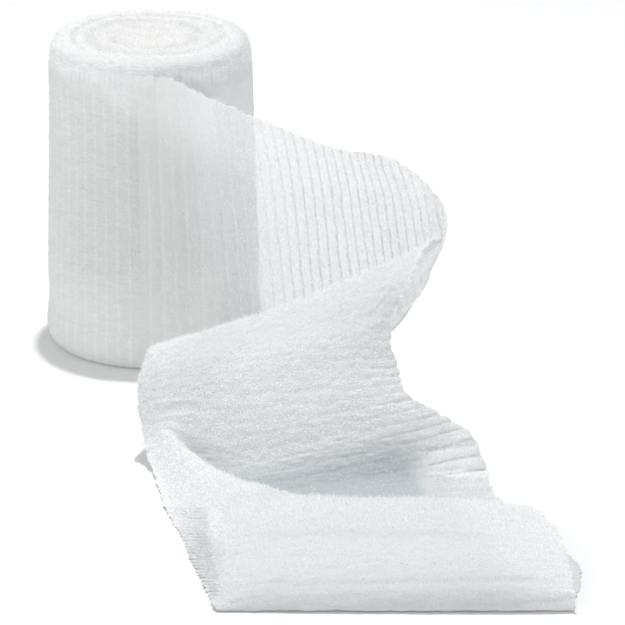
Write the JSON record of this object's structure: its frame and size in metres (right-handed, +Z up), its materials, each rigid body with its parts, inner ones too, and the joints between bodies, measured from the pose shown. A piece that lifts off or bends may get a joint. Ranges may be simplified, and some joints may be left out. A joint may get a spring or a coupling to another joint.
{
  "type": "gauze bandage roll",
  "caption": "Soft roll of crinkled gauze bandage standing on one end, its loose tail unwound over a hump and a low fold in front.",
  "frame": {"origin": "middle of the roll's lower end, on the surface it stands on", "axes": "+Z up along the roll, -Y towards the front fold of the loose tail, +X towards the side the tail first runs to"},
  "size_m": [0.1588, 0.2416, 0.0993],
  "materials": {
    "wound_roll": "matte crinkled gauze, wound",
    "loose_tail": "matte crinkled gauze, sheer"
  },
  "bodies": {
    "root": {"wound_roll": "wound_roll", "loose_tail": "loose_tail"}
  },
  "joints": []
}
